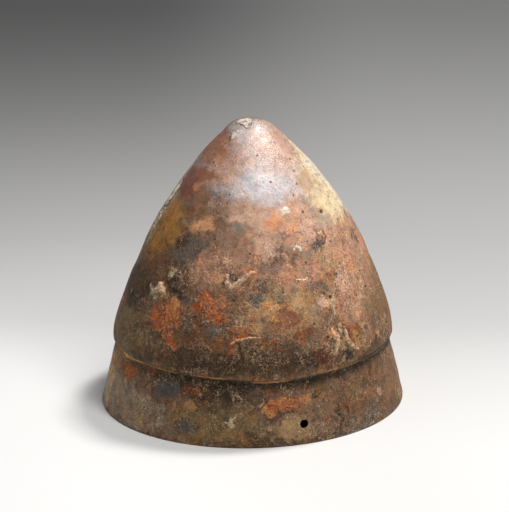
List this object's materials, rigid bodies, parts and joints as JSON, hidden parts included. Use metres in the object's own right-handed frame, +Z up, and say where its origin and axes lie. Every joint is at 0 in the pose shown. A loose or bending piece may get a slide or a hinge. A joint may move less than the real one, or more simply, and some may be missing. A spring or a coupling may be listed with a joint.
{
  "type": "conical bronze helmet",
  "caption": "Tall rounded conical helmet of thin bronze with a step above a flaring band, a chin-cord hole at each side, and burial crusts on its outside.",
  "frame": {"origin": "centre of the helmet's footprint, on the plane that the rim stands on", "axes": "+Z up to the tip, +Y from the brow to the nape along the longer width, +X to the wearer's left"},
  "size_m": [0.197, 0.212, 0.2013],
  "materials": {
    "bronze": "old raised bronze sheet with a mottled brown, grey and tan patina, satin towards the tip",
    "lime": "dull pale burial lime, rough and cracked",
    "scab": "dull dark brown corrosion scab, rough",
    "cuprite": "dull orange-red copper corrosion, grainy"
  },
  "bodies": {
    "root": {"helmet_shell": "bronze", "apex_lime_cap": "lime", "apex_lime_flake": "lime", "brow_lime_lump": "lime", "brow_flank_crust": "lime", "nape_shoulder_crust": "lime", "hook_crust": "lime", "flake_lip_crust": "lime", "root_crust_front": "lime", "root_crust_middle": "lime", "root_crust_rear": "lime", "brow_scab": "scab", "side_blister": "scab", "brow_cuprite": "cuprite", "side_cuprite": "cuprite", "low_cuprite": "cuprite", "band_cuprite": "cuprite"}
  },
  "joints": []
}
